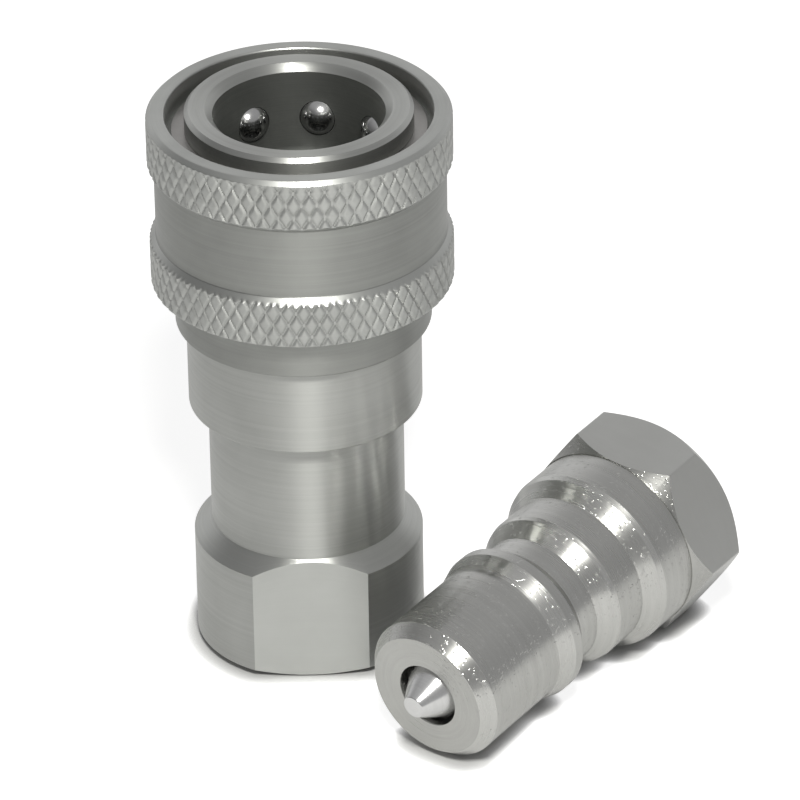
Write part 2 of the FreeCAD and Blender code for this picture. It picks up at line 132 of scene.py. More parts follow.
# A grid of points becomes one closed mesh of quads, wrapped round its columns and, if asked, its rows.
# The map named "turned" holds the share of a full turn and the length along the section in millimetres.
# Each entry of finishes names the rows, or row and columns, that take the piece's next finish.
def gridPiece(name, points, closedRows=True, place=None, finishes=()):
    rows, columns = points.shape[:2]
    index = np.arange(rows * columns).reshape(rows, columns)
    here = index if closedRows else index[:-1]
    above = np.roll(index, -1, axis=0) if closedRows else index[1:]
    quads = np.stack([here, np.roll(here, -1, 1), np.roll(above, -1, 1), above], -1)
    step = np.linalg.norm(np.diff(points, axis=0, append=points[:1]), axis=2).mean(1)
    along = np.append(0, np.cumsum(step))
    share = np.arange(columns + 1) / columns
    count = len(here)
    u = np.stack([share[:-1], share[1:], share[1:], share[:-1]], -1)[None].repeat(count, 0)
    v = np.stack([along[:-1], along[:-1], along[1:], along[1:]], -1)[:count, None].repeat(columns, 1)
    flat = points.reshape(-1, 3)
    corner = flat[quads.reshape(-1, 4)]
    sixVolumes = (np.cross(corner[:, 0], corner[:, 1]) * corner[:, 2]).sum() \
        + (np.cross(corner[:, 0], corner[:, 2]) * corner[:, 3]).sum()
    if sixVolumes < 0:   # turned inside out: every quad is walked the other way
        quads, u, v = quads[..., ::-1], u[..., ::-1], v[..., ::-1]
    mesh = bpy.data.meshes.new(name)
    mesh.vertices.add(len(flat))
    mesh.vertices.foreach_set("co", (flat * mm).astype(np.float32).ravel())
    loops = quads.reshape(-1)
    mesh.loops.add(len(loops))
    mesh.loops.foreach_set("vertex_index", loops.astype(np.int32))
    mesh.polygons.add(len(loops) // 4)
    mesh.polygons.foreach_set("loop_start", np.arange(0, len(loops), 4, dtype=np.int32))
    finish = np.zeros((count, columns), np.int32)
    for number, taken in enumerate(finishes, 1):
        finish[taken] = number
    mesh.polygons.foreach_set("material_index", finish.ravel())
    mesh.update(calc_edges=True)
    layer = mesh.uv_layers.new(name="turned")
    layer.data.foreach_set("uv", np.stack([u, v], -1).astype(np.float32).ravel())
    if place is not None:
        mesh.transform(place)
    return finishedPiece(name, mesh)


# Doubles are merged, slivers dropped, and edges sharper than the limit in degrees stay crisp
def finishedPiece(name, mesh, sharp=30, merge=2e-7, sliver=1e-8):
    work = bmesh.new()
    work.from_mesh(mesh)
    bmesh.ops.remove_doubles(work, verts=work.verts, dist=merge)
    bmesh.ops.dissolve_degenerate(work, edges=work.edges, dist=sliver)
    work.to_mesh(mesh)
    work.free()
    mesh.shade_smooth()
    mesh.set_sharp_from_angle(angle=math.radians(sharp))
    print("piece", name, len(mesh.polygons), "faces")
    return addObject(name, mesh)


# Pipe thread: the core radius plus the depth times a flattened triangle wave of height over pitch less
# the share of a turn, fading out over some of the pitch at its lower and upper end
pipeThread = {"core": 7.5, "depth": 0.75, "pitch": 1.337, "flatten": 1.25, "lowFade": 0.5, "highFade": 1.5,
              "perPitch": 10, "countersink": 1.1, "lead": 0.1}


def threadRows(angle, start, end):
    s = pipeThread
    count = int(abs(end - start) / s["pitch"] * s["perPitch"]) + 1
    height = np.linspace(start, end, count)[:, None]
    wave = triangleWave(height / s["pitch"] - angle[None, :] / fullTurn)
    wave = np.clip(s["flatten"] * wave - (s["flatten"] - 1) / 2, 0, 1)
    fade = np.clip((height - min(start, end)) / (s["lowFade"] * s["pitch"]), 0, 1) \
        * np.clip((max(start, end) - height) / (s["highFade"] * s["pitch"]), 0, 1)
    return s["core"] + s["depth"] * fade * wave, np.broadcast_to(height, (count, len(angle)))


# Socket adapter: round foot with two wrench flats and a 45 degree crown, neck, collar, and the threaded
# port from below. The foot's radius is the smaller of its round and the flat's distance over the sine of
# the angle, and its lower edge rises from the base circle by a share of the radius gained.
adapterShape = {"foot": 12.702, "flat": 11.0, "neck": 10.75, "crownTop": 15.1, "base": 10.6, "baseRise": 0.45,
                "collar": 12.85, "collarBottom": 29.95, "collarTop": 41.5, "spigotBore": 10.25,
                "spigotFloor": 31.45, "guidePocket": 6.9, "guideSeat": 15.393758, "passage": 6.0,
                "portEnd": 12.5, "perTurn": 180, "flatSupport": (0.006, 0.012), "supportRoom": 0.018}


def socketAdapter():
    s, thread = adapterShape, pipeThread
    edge = math.asin(s["flat"] / s["foot"])
    corner = np.array([edge, math.pi - edge, math.pi + edge, fullTurn - edge])
    near = np.concatenate([corner + side * step for side in (-1, 1) for step in (0.0, *s["flatSupport"])])
    even = evenAngles(s["perTurn"])
    clear = np.abs(even[:, None] - corner[None, :]).min(1) > s["supportRoom"]
    angle = np.unique(np.concatenate([even[clear], near]).round(9))
    footRadius = np.minimum(s["foot"], s["flat"] / np.maximum(np.abs(np.sin(angle)), tiny))[None, :]
    base = (np.minimum(footRadius, s["base"]), np.zeros_like(footRadius))
    footEdge = (footRadius, s["baseRise"] * np.maximum(0, footRadius - s["base"]))
    crown = (footRadius, s["crownTop"] - (footRadius - s["neck"]))
    upper = roundedProfile([
        (s["neck"], s["crownTop"]), (s["neck"], s["collarBottom"]),
        (s["collar"], s["collarBottom"], edgeBreak), (s["collar"], s["collarTop"], edgeBreak),
        (s["spigotBore"], s["collarTop"]), (s["spigotBore"], s["spigotFloor"]),
        (s["guidePocket"], s["spigotFloor"]), (s["guidePocket"], s["guideSeat"]),
        (s["passage"], s["guideSeat"]), (s["passage"], s["portEnd"]), (thread["core"], s["portEnd"])])
    port = threadRows(angle, s["portEnd"] - thread["lead"], thread["countersink"])
    mouth = plainRows(np.array([(thread["core"] + thread["countersink"], 0.0)]), angle)
    middle = angle + np.diff(angle, append=angle[0] + fullTurn) / 2
    onFlat = np.flatnonzero(s["foot"] * np.abs(np.sin(middle)) > s["flat"])
    sideRow = 1   # from the foot's edge up to the crown
    return gridPiece("socketAdapter", stackedGrid(
        [base, footEdge, crown, plainRows(upper, angle), port, mouth], angle), finishes=[(sideRow, onFlat)])


# Release sleeve: a turned ring whose two bands carry a diamond knurl. With the diamonds passed round the
# turn plus, and less, the diamonds climbed, the smaller of their two triangle waves is stretched and held
# at one. The radius is the band's less the depth times one less that, faded out under the upper rim, and
# never more than the turned section's own. The bands and the rim take the second finish.
sleeveShape = {"bottom": 40.1, "tailBore": 12.95, "tail": 14.0, "band": 16.5, "lowerBand": (45.2, 50.1),
               "waist": 15.8, "waistSpan": (51.0, 58.9), "upperBand": (59.6, 64.65), "top": 65.15,
               "topEdge": 16.0, "counterbore": 14.462, "shoulder": 62.35, "taperTop": 13.56862,
               "land": 12.914964, "landSpan": (56.6, 58.772092), "flangeBore": 12.45, "flange": 52.3,
               "lowerRound": 0.25, "bandRound": 0.12, "waistRound": 0.25, "upperRound": 0.3,
               "bandRise": 0.05, "brightRise": 0.1, "brightRim": 0.3, "slack": 0.01}
knurlShape = {"diamonds": 62, "height": 2.9, "depth": 0.24, "stretch": 2.6, "perDiamond": 12,
              "rowStep": 0.24, "fadeEnd": 0.1, "topFade": 0.55}


def releaseSleeve():
    s, knurl = sleeveShape, knurlShape
    (lowBottom, lowTop), (highBottom, highTop) = s["lowerBand"], s["upperBand"]
    (waistBottom, waistTop), (landBottom, landTop) = s["waistSpan"], s["landSpan"]
    section = roundedProfile([
        (s["tailBore"], s["bottom"], edgeBreak), (s["tail"], s["bottom"], edgeBreak), (s["tail"], lowBottom),
        (s["band"], lowBottom, s["lowerRound"]), (s["band"], lowTop, s["bandRound"]),
        (s["waist"], waistBottom, s["waistRound"]), (s["waist"], waistTop, s["waistRound"]),
        (s["band"], highBottom, s["bandRound"]), (s["band"], highTop, s["upperRound"]),
        (s["topEdge"], s["top"], edgeBreak), (s["counterbore"], s["top"], edgeBreak),
        (s["counterbore"], s["shoulder"]), (s["taperTop"], s["shoulder"]), (s["land"], landTop),
        (s["land"], landBottom), (s["flangeBore"], landBottom), (s["flangeBore"], s["flange"]),
        (s["tailBore"], s["flange"])], steps=3, support=0.03)
    aboveTail = lowBottom - s["slack"]
    onBand = (section[:, 0] > s["waist"] + s["bandRise"]) & (section[:, 1] > aboveTail)
    first, last = np.flatnonzero(onBand)[[0, -1]]
    fine = dividedRun(section[first - 1:last + 2], knurl["rowStep"])
    plainReach = (waistTop - waistBottom) / 2 - s["waistRound"]
    fromMiddle = np.abs(fine[:, 1] - np.mean(s["waistSpan"]))
    plainWaist = (fine[:, 0] < s["waist"] + s["slack"]) & (fromMiddle < plainReach)   # needs no close rows
    run = np.concatenate([section[:first - 1], fine[~plainWaist], section[last + 2:]])
    radius, height = run[:, :1], run[:, 1:]
    angle = evenAngles(knurl["diamonds"] * knurl["perDiamond"])
    around = knurl["diamonds"] * angle[None, :] / fullTurn
    climb = height / knurl["height"]
    grooves = np.minimum(triangleWave(around + climb), triangleWave(around - climb))
    diamond = np.minimum(1, knurl["stretch"] * grooves)
    fade = np.clip((highTop + knurl["fadeEnd"] - height) / knurl["topFade"], 0, 1)
    cut = s["band"] - knurl["depth"] * fade * (1 - diamond)
    onOutside = (radius > s["waist"] - s["slack"]) & (height > aboveTail) & (height < s["top"] - s["slack"])
    radius = np.where(onOutside, np.minimum(radius, cut), radius)
    raised = (run[:, 0] > s["waist"] + s["brightRise"]) | (run[:, 1] > s["top"] - s["brightRim"])
    bright = np.flatnonzero(raised & (run[:, 1] > aboveTail))
    return gridPiece("releaseSleeve", turnedGrid(radius, height, angle), finishes=[bright])


# Where the plug lies: turned about Z, laid down, and rolled until a corner of its hex touches the floor.
# The socket's valve is the same one turned over, with the face of its seat at the height given.
plugPlace = {"nose": (12.3, -27.98, 8.175321), "azimuth": 39.31, "tilt": 5.056887, "roll": -4.552516}
socketPlace = {"seatFace": 40.993758}
noseAt = Vector(plugPlace["nose"]) * mm
plugMatrix = Matrix.Translation(noseAt) \
    @ Matrix.Rotation(math.radians(-plugPlace["azimuth"]), 4, "Z") \
    @ Matrix.Rotation(math.radians(plugPlace["tilt"] - 90), 4, "X") \
    @ Matrix.Rotation(math.radians(-plugPlace["roll"]), 4, "Z")
socketMatrix = Matrix.Translation((0, 0, socketPlace["seatFace"] * mm)) @ Matrix.Rotation(math.pi, 4, "X")


# Radius of a hexagon with a corner at angle 0: the flat's distance over the cosine of the angle from the
# middle of the flat, held inside an arc of the corner round near each corner. The arc reaches half its
# radius to each side of the corner.
def hexRadius(angle, flatDistance, cornerRound):
    fromFlat = np.mod(angle, sixth) - sixth / 2
    fromCorner = sixth / 2 - np.abs(fromFlat)
    centre = (flatDistance - cornerRound) / math.cos(sixth / 2)
    aside = centre * np.sin(fromCorner)
    onArc = centre * np.cos(fromCorner) + np.sqrt(np.maximum(cornerRound ** 2 - aside ** 2, 0))
    return np.where(aside < cornerRound / 2 * (1 + closeBy), onArc, flatDistance / np.cos(fromFlat))


# Angles round a hexagon: even steps along each flat, and close steps over each rounded corner
def hexAngles(flatDistance, cornerRound, perFlat=30, perCorner=7, support=0.006):
    edge = math.asin(cornerRound / 2 / ((flatDistance - cornerRound) / math.cos(sixth / 2)))
    close = np.linspace(-edge, edge, perCorner)
    flatRun = np.linspace(edge, sixth - edge, perFlat)[1:-1]
    held = np.array([edge + support, sixth - edge - support])
    side = np.sort(np.concatenate([close, flatRun, held]))
    return (side[None, :] + np.arange(6)[:, None] * sixth).ravel()


# Plug from one bar, bored right through: chamfered nose, ramp and locking land, ball groove, two collars
# that each follow a cone and a short shoulder, and the hexagon. The hexagon's flats, the rows that climb
# at a slant and the rows that fall into the groove take the second, third and fourth finish. The slant rows
# get a smoother finish with a lighter tone, partly painted light, and the groove's falling rows a darker
# tone that is painted shade.
valveShape = {"hole": 3.7, "holeLength": 2.0, "chamber": 5.9, "tip": 1.25, "tipReach": 2.5, "tipLength": 3.5,
              "neck": 3.3, "neckRound": 0.15, "coneStart": 1.883, "head": 5.4, "headEnd": 6.0, "boss": 3.7,
              "bossEnd": 7.5, "stem": 1.8, "stemEnd": 26.2, "guide": 24.0, "perTurn": 96}
plugShape = {"face": 7.14, "nose": 8.34, "chamferEnd": 1.5, "rampStart": 12.45, "rampRound": 3.0,
             "land": 9.06, "landSpan": (14.84, 16.1), "groove": 7.76, "grooveSpan": (17.6, 20.5),
             "frontShoulder": (9.06, 22.35), "frontCollar": 9.22, "frontSpan": (22.95, 26.95),
             "rearShoulder": (10.6, 28.6), "collar": 10.8, "collarStart": 29.3, "flat": 10.9,
             "cornerRound": 0.25, "fineRound": 0.1, "slope": 0.2, "hexStart": 34.0, "length": 42.3,
             "portStart": 28.2, "guidePocket": 6.9, "ringGroove": 7.35, "ringSpan": (25.65, 26.6)}


def plugBody():
    s, thread, valve, fine = plugShape, pipeThread, valveShape, plugShape["fineRound"]
    (landStart, landEnd), (grooveStart, grooveEnd) = s["landSpan"], s["grooveSpan"]
    (frontStart, frontEnd), (ringStart, ringEnd) = s["frontSpan"], s["ringSpan"]
    angle = hexAngles(s["flat"], s["cornerRound"])
    hexR = hexRadius(angle, s["flat"], s["cornerRound"])[None, :]
    nose = roundedProfile([
        (valve["hole"], valve["holeLength"]), (valve["hole"], 0, fine), (s["face"], 0, fine),
        (s["nose"], s["chamferEnd"], edgeBreak), (s["nose"], s["rampStart"], s["rampRound"]),
        (s["land"], landStart, edgeBreak), (s["land"], landEnd, fine),
        (s["groove"], grooveStart, fine), (s["groove"], grooveEnd, fine),
        (*s["frontShoulder"], fine), (s["frontCollar"], frontStart, edgeBreak),
        (s["frontCollar"], frontEnd, fine), (*s["rearShoulder"], fine),
        (s["collar"], s["collarStart"], edgeBreak), (s["collar"], s["hexStart"])])
    rise, ahead = np.diff(nose, axis=0).T
    climbing = np.flatnonzero((rise > s["slope"] * ahead) & (ahead > s["slope"] * rise))
    # rows that fall into the groove: their darker finish is painted shade
    fallingShaded = np.flatnonzero((rise < -s["slope"] * ahead) & (ahead > 0))
    hexFoot = (np.full_like(hexR, s["flat"]), np.full_like(hexR, s["hexStart"]))
    crown = (hexR, s["hexStart"] + hexR - s["flat"])
    backCrown = (hexR, s["length"] - (hexR - s["flat"]))
    portMouth = s["length"] - thread["countersink"]
    back = roundedProfile([(s["flat"], s["length"]), (thread["core"] + thread["countersink"], s["length"]),
                           (thread["core"], portMouth)])
    port = threadRows(angle, portMouth - thread["lead"], s["portStart"])
    seatEnd = valve["holeLength"] + valve["chamber"] - valve["hole"]
    inside = roundedProfile([
        (s["guidePocket"], s["portStart"]), (s["guidePocket"], ringEnd), (s["ringGroove"], ringEnd),
        (s["ringGroove"], ringStart), (s["guidePocket"], ringStart), (s["guidePocket"], valve["guide"]),
        (valve["chamber"], valve["guide"]), (valve["chamber"], seatEnd)])
    flatsRow = len(nose) + 1   # from the front crown to the back one
    return gridPiece("plugBody", stackedGrid(
        [plainRows(nose, angle), hexFoot, crown, backCrown, plainRows(back, angle), port,
         plainRows(inside, angle)], angle), place=plugMatrix, finishes=[[flatsRow], climbing, fallingShaded])


# Valve poppet: cone tip, seat cone, head, spring boss and stem, turned about its own axis
def valvePoppet(name, place):
    s = valveShape
    angle = evenAngles(s["perTurn"])
    tipBase, coneEnd = s["tipLength"] - s["tipReach"], s["coneStart"] + s["head"] - s["neck"]
    run = roundedProfile([
        (0, -s["tipReach"]), (s["tip"], -s["tipReach"], edgeBreak), (s["neck"], tipBase, s["neckRound"]),
        (s["neck"], s["coneStart"]), (s["head"], coneEnd, edgeBreak), (s["head"], s["headEnd"], edgeBreak),
        (s["boss"], s["headEnd"]), (s["boss"], s["bossEnd"], edgeBreak), (s["stem"], s["bossEnd"]),
        (s["stem"], s["stemEnd"], edgeBreak), (0, s["stemEnd"])])
    radius, height = plainRows(run, angle)
    return gridPiece(name, turnedGrid(radius, height, angle), closedRows=False, place=place)


# Coil spring: a round wire carried along a helix whose rise within each half turn follows
# (1 - cos) / 2, with one flat half turn on each seat and a flat cut at both ends. Keep is the share of its
# length that is left when its joint is at the limit.
sleeveCoil = {"radius": 12.075, "wire": 1.2, "halfTurns": 6, "bottom": 41.5, "top": 51.5, "gap": 0.05,
              "keep": 0.48, "perHalfTurn": 20, "aroundWire": 16}
valveCoil = {"radius": 4.4, "wire": 0.9, "halfTurns": 12, "bottom": 6.0, "top": 24.0, "gap": 0.05,
             "keep": 0.8056, "perHalfTurn": 20, "aroundWire": 16}


def coilSpring(name, s, place=None):
    halfTurns = s["halfTurns"]
    low = s["bottom"] + s["wire"] / 2 + s["gap"]
    rise = (s["top"] - s["bottom"] - s["wire"] - 2 * s["gap"]) / halfTurns
    level = low + rise * np.concatenate([[0], np.arange(halfTurns + 1), [halfTurns]])
    turn = np.linspace(0, halfTurns + 2, (halfTurns + 2) * s["perHalfTurn"] + 1)
    stage = np.minimum(turn.astype(int), halfTurns + 1)
    height = level[stage] + (level[stage + 1] - level[stage]) * (1 - np.cos(math.pi * (turn - stage))) / 2
    angle = math.pi * turn
    line = np.stack([s["radius"] * np.cos(angle), s["radius"] * np.sin(angle), height], 1)
    outward = np.stack([np.cos(angle), np.sin(angle), np.zeros_like(angle)], 1)
    ahead = np.gradient(line, axis=0)
    ahead[[0, -1]] = np.stack([-np.sin(angle[[0, -1]]), np.cos(angle[[0, -1]]), [0, 0]], 1)
    upward = np.cross(unit(ahead), outward)
    around = evenAngles(s["aroundWire"])[None, :, None]
    ring = outward[:, None] * np.cos(around) + upward[:, None] * np.sin(around)
    tube = line[:, None] + ring * s["wire"] / 2
    ends = [np.repeat(line[i][None, None], s["aroundWire"], 1) for i in (0, -1)]
    return gridPiece(name, np.concatenate([ends[0], tube, ends[1]]), closedRows=False, place=place)


# One kind of value from a mesh's vertices or faces, as rows of three
def readRows(items, label):
    values = np.empty(len(items) * 3)
    items.foreach_get(label, values)
    return values.reshape(-1, 3)


# Front body with its ball holes: the solid's own mesh, merged, with the same map as the turned pieces
# (share of a turn from the angle, and height less a share of the radius in millimetres). The round on the
# nose's edge is drawn in to its chord, a bevel, and faces within the bore take the second finish: a duller,
# darker tone that partly paints the shade inside the bore.
bodyShape = {"nose": 12.35, "top": 65.7, "bevel": 0.45, "slack": 1e-4, "boreReach": 9.45, "boreTop": 64.95,
             "mapLean": 0.4}


def frontBody():
    s = bodyShape
    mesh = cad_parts["socket_body"].data.copy()
    mesh.name = "frontBody"
    mesh.materials.clear()
    mesh.attributes.remove(mesh.attributes["custom_normal"])   # its triangles then shade together
    at = readRows(mesh.vertices, "co") / mm
    out = np.hypot(at[:, 0], at[:, 1])
    roundOut = out - s["nose"] + s["bevel"]
    roundUp = at[:, 2] - s["top"] + s["bevel"]
    onRound = (roundOut > s["slack"]) & (roundUp > s["slack"])
    along = np.arctan2(roundUp, roundOut) / (math.pi / 2)   # 0 at the outer end of the round, 1 at the top
    moved = np.where(onRound, s["nose"] - s["bevel"] * along, out)
    at[:, :2] *= (moved / np.maximum(out, tiny))[:, None]
    at[:, 2] = np.where(onRound, s["top"] - s["bevel"] * (1 - along), at[:, 2])
    mesh.vertices.foreach_set("co", (at * mm).astype(np.float32).ravel())
    piece = finishedPiece("frontBody", mesh)
    loop = np.empty(len(mesh.loops), np.int32)
    mesh.loops.foreach_get("vertex_index", loop)
    x, y, z = readRows(mesh.vertices, "co")[loop].T / mm
    turn = (np.arctan2(y, x) / fullTurn).reshape(-1, 3)
    turn = np.where(turn < turn.max(1, keepdims=True) - 0.5, turn + 1, turn).ravel()   # across the seam
    layer = mesh.uv_layers.new(name="turned")
    uv = np.stack([turn, z - s["mapLean"] * np.hypot(x, y)], 1)
    layer.data.foreach_set("uv", uv.astype(np.float32).ravel())
    x, y, z = readRows(mesh.polygons, "center").T / mm
    # faces inside the bore, whose darker tone partly paints its shade
    inBore = (np.hypot(x, y) < s["boreReach"]) & (z < s["boreTop"])
    mesh.polygons.foreach_set("material_index", inBore.astype(np.int32))
    evenShade = piece.modifiers.new("evenShade", "WEIGHTED_NORMAL")
    evenShade.keep_sharp = True
    return piece


adapter = socketAdapter()
sleeve = releaseSleeve()
body = frontBody()
plug = plugBody()
socketPoppet = valvePoppet("socketPoppet", socketMatrix)
plugPoppet = valvePoppet("plugPoppet", plugMatrix)
sleeveSpring = coilSpring("sleeveSpring", sleeveCoil)
socketSpring = coilSpring("socketSpring", valveCoil, socketMatrix)
plugSpring = coilSpring("plugSpring", valveCoil, plugMatrix)

for piece, node, bodyName, slot in ((adapter, "socket_adapter", "coupler", "socket_steel"),
                                    (body, "socket_body", "coupler", "socket_steel"),
                                    (sleeve, "release_sleeve", "sleeve", "sleeve_steel"),
                                    (plug, "plug_body", "coupler", "plug_steel"),
                                    (socketPoppet, "socket_poppet", "socket_valve", "valve_steel"),
                                    (plugPoppet, "plug_poppet", "plug_valve", "valve_steel"),
                                    (sleeveSpring, "sleeve_spring", "coupler", "spring_steel"),
                                    (socketSpring, "socket_poppet_spring", "coupler", "spring_steel"),
                                    (plugSpring, "plug_poppet_spring", "coupler", "spring_steel")):
    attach(piece, bodyName)
    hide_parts(node)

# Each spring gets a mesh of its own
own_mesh(sleeveSpring)
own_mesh(socketSpring)
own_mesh(plugSpring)
print("pieces ride on their bodies")


# Fills a node's sockets: with a link where the value is another node's output, else with the value itself.
# A socket goes by its label, with _ for a space, or by its number as i0, i1 and so on.
def fill(tree, node, **sockets):
    for key, value in sockets.items():
        numbered = key[0] == "i" and key[1:].isdigit()
        target = node.inputs[int(key[1:]) if numbered else key.replace("_", " ")]
        if isinstance(value, bpy.types.NodeSocket):
            tree.links.new(value, target)
        else:
            target.default_value = value


def addNode(tree, kind, settings=None, **sockets):
    node = tree.nodes.new(kind)
    for key, value in (settings or {}).items():
        setattr(node, key, value)
    fill(tree, node, **sockets)
    return node


def calc(tree, operation, a, b=0.0, c=0.0, clamp=False):
    return addNode(tree, "ShaderNodeMath", {"operation": operation, "use_clamp": clamp},
                   i0=a, i1=b, i2=c).outputs[0]


# Carries a value from one range to another, held at both ends
def remap(tree, value, span, target=(0.0, 1.0), ease="LINEAR"):
    return addNode(tree, "ShaderNodeMapRange", {"interpolation_type": ease}, i0=value, i1=span[0], i2=span[1],
                   i3=target[0], i4=target[1]).outputs[0]


def newGroup(name, inputs, outputs):
    group = bpy.data.node_groups.new(name, "ShaderNodeTree")
    for label, kind, value in inputs:
        group.interface.new_socket(label, in_out="INPUT", socket_type=kind).default_value = value
    for label in outputs:
        group.interface.new_socket(label, in_out="OUTPUT", socket_type="NodeSocketFloat")
    return group, group.nodes.new("NodeGroupInput").outputs, group.nodes.new("NodeGroupOutput")


# Turning marks: line noise along the section, in fine lines and broad bands, broken a little round the turn
marksPattern = {"around": 3.0, "fineDetail": 3.0, "fineRoughness": 0.65, "fineShare": 0.55, "bandScale": 0.22,
                "bandDetail": 2.0, "bandShare": 0.45, "span": (0.3, 0.7)}


def turningMarks():
    s = marksPattern
    tree, given, out = newGroup("turningMarks", [("Map", "NodeSocketVector", (0, 0, 0)),
                                                 ("Lines", "NodeSocketFloat", 6.0)], ["Height", "Shade"])
    split = addNode(tree, "ShaderNodeSeparateXYZ", i0=given["Map"]).outputs
    around = calc(tree, "MULTIPLY", split[0], s["around"])
    lineAt = calc(tree, "MULTIPLY", split[1], given["Lines"])
    spot = addNode(tree, "ShaderNodeCombineXYZ", i0=around, i1=lineAt).outputs[0]
    fine = addNode(tree, "ShaderNodeTexNoise", {"noise_dimensions": "2D"}, Vector=spot, Scale=1.0,
                   Detail=s["fineDetail"], Roughness=s["fineRoughness"]).outputs[0]
    bandAt = calc(tree, "MULTIPLY", lineAt, s["bandScale"])
    band = addNode(tree, "ShaderNodeTexNoise", {"noise_dimensions": "1D"}, W=bandAt, Scale=1.0,
                   Detail=s["bandDetail"]).outputs[0]
    both = calc(tree, "ADD", calc(tree, "MULTIPLY", fine, s["fineShare"]),
                calc(tree, "MULTIPLY", band, s["bandShare"]))
    fill(tree, out, Height=fine, Shade=remap(tree, both, s["span"]))
    return tree


# Plating: a soft cloud over the whole piece, and small pale specks where it was handled
cloudPattern = {"detail": 4.0, "roughness": 0.55, "span": (0.3, 0.7), "speckScale": 28.0, "speckDetail": 2.0,
                "speckSpan": (0.62, 0.78)}


def platingCloud():
    s = cloudPattern
    tree, given, out = newGroup("platingCloud", [("Place", "NodeSocketVector", (0, 0, 0)),
                                                 ("Size", "NodeSocketFloat", 120.0)], ["Cloud", "Speck"])
    cloud = addNode(tree, "ShaderNodeTexNoise", Vector=given["Place"], Scale=given["Size"],
                    Detail=s["detail"], Roughness=s["roughness"]).outputs[0]
    speckSize = calc(tree, "MULTIPLY", given["Size"], s["speckScale"])
    speck = addNode(tree, "ShaderNodeTexNoise", Vector=given["Place"], Scale=speckSize,
                    Detail=s["speckDetail"]).outputs[0]
    fill(tree, out, Cloud=remap(tree, cloud, s["span"]), Speck=remap(tree, speck, s["speckSpan"]))
    return tree


marksGroup, cloudGroup = turningMarks(), platingCloud()


def newMaterial(name, **sockets):
    material = bpy.data.materials.new(name)
    material.use_nodes = True
    tree = material.node_tree
    shader = tree.nodes["Principled BSDF"]
    fill(tree, shader, **sockets)
    return material, tree, shader


def objectCloud(tree, look):
    place = addNode(tree, "ShaderNodeTexCoord").outputs["Object"]
    return addNode(tree, "ShaderNodeGroup", {"node_tree": cloudGroup}, Place=place,
                   Size=look["cloudSize"]).outputs


# Colour between the look's dark and its light
def toneBetween(tree, look, share):
    return addNode(tree, "ShaderNodeMix", {"data_type": "RGBA"}, Factor=share, i6=(*look["dark"], 1),
                   i7=(*look["light"], 1)).outputs[2]


# Turned and plated steel: tone and gloss follow the turning marks and the cloud of the plating, and the
# marks spread reflections along the section. The specks stand up by the look's grain.
acrossMarks = 0.25      # share of a turn from the marks to the way that reflections spread
markDepth = 0.02 * mm


def turnedSteel(name, look):
    material, tree, shader = newMaterial(name, Metallic=1.0, Anisotropic=look["spread"],
                                         Anisotropic_Rotation=acrossMarks)
    turned = addNode(tree, "ShaderNodeUVMap", {"uv_map": "turned"}).outputs[0]
    tangent = addNode(tree, "ShaderNodeTangent", {"direction_type": "UV_MAP", "uv_map": "turned"}).outputs[0]
    marks = addNode(tree, "ShaderNodeGroup", {"node_tree": marksGroup}, Map=turned,
                    Lines=look["lines"]).outputs
    cloud = objectCloud(tree, look)
    share = calc(tree, "ADD", calc(tree, "MULTIPLY", marks["Shade"], look["markShare"]),
                 calc(tree, "MULTIPLY", cloud["Cloud"], 1 - look["markShare"]))
    height = calc(tree, "MULTIPLY_ADD", cloud["Speck"], look["grain"], marks["Height"])
    bump = addNode(tree, "ShaderNodeBump", Strength=look["bump"], Distance=markDepth,
                   Height=height).outputs[0]
    fill(tree, shader, Base_Color=toneBetween(tree, look, share), Normal=bump, Tangent=tangent,
         Roughness=remap(tree, share, (0.0, 1.0), look["rough"][::-1]))   # the lighter, the glossier
    return material


adapterLook = {"dark": (0.43, 0.436, 0.42), "light": (0.53, 0.537, 0.52), "rough": (0.36, 0.45),
               "spread": 0.80, "lines": 9.0, "cloudSize": 90.0, "markShare": 0.5, "bump": 0.25, "grain": 0.0}
milledLook = {"dark": (0.53, 0.538, 0.52), "light": (0.61, 0.62, 0.60), "rough": (0.40, 0.47),
              "spread": 0.4, "lines": 3.0, "cloudSize": 70.0, "markShare": 0.15, "bump": 0.03, "grain": 0.0}
bodyLook = {"dark": (0.38, 0.385, 0.37), "light": (0.49, 0.496, 0.48), "rough": (0.34, 0.44),
            "spread": 0.7, "lines": 9.0, "cloudSize": 90.0, "markShare": 0.5, "bump": 0.2, "grain": 0.0}
# Bore: a duller finish whose darker tone is partly painted shade inside the bore
boreFinishAndShadeLook = {"dark": (0.20, 0.206, 0.196), "light": (0.27, 0.277, 0.264), "rough": (0.48, 0.58),
            "spread": 0.2, "lines": 6.0, "cloudSize": 90.0, "markShare": 0.5, "bump": 0.15, "grain": 0.0}
sleeveLook = {"dark": (0.302, 0.307, 0.295), "light": (0.378, 0.384, 0.369), "rough": (0.36, 0.46),
              "spread": 0.68, "lines": 8.0, "cloudSize": 110.0, "markShare": 0.45, "bump": 0.22, "grain": 0.0}
knurlLook = {"dark": (0.42, 0.427, 0.413), "light": (0.53, 0.538, 0.521), "rough": (0.36, 0.46),
             "spread": 0.5, "lines": 6.0, "cloudSize": 110.0, "markShare": 0.3, "bump": 0.12, "grain": 0.0}
plugLook = {"dark": (0.45, 0.45, 0.435), "light": (0.57, 0.57, 0.552), "rough": (0.20, 0.31),
            "spread": 0.35, "lines": 4.5, "cloudSize": 80.0, "markShare": 0.5, "bump": 0.30, "grain": 8.0}
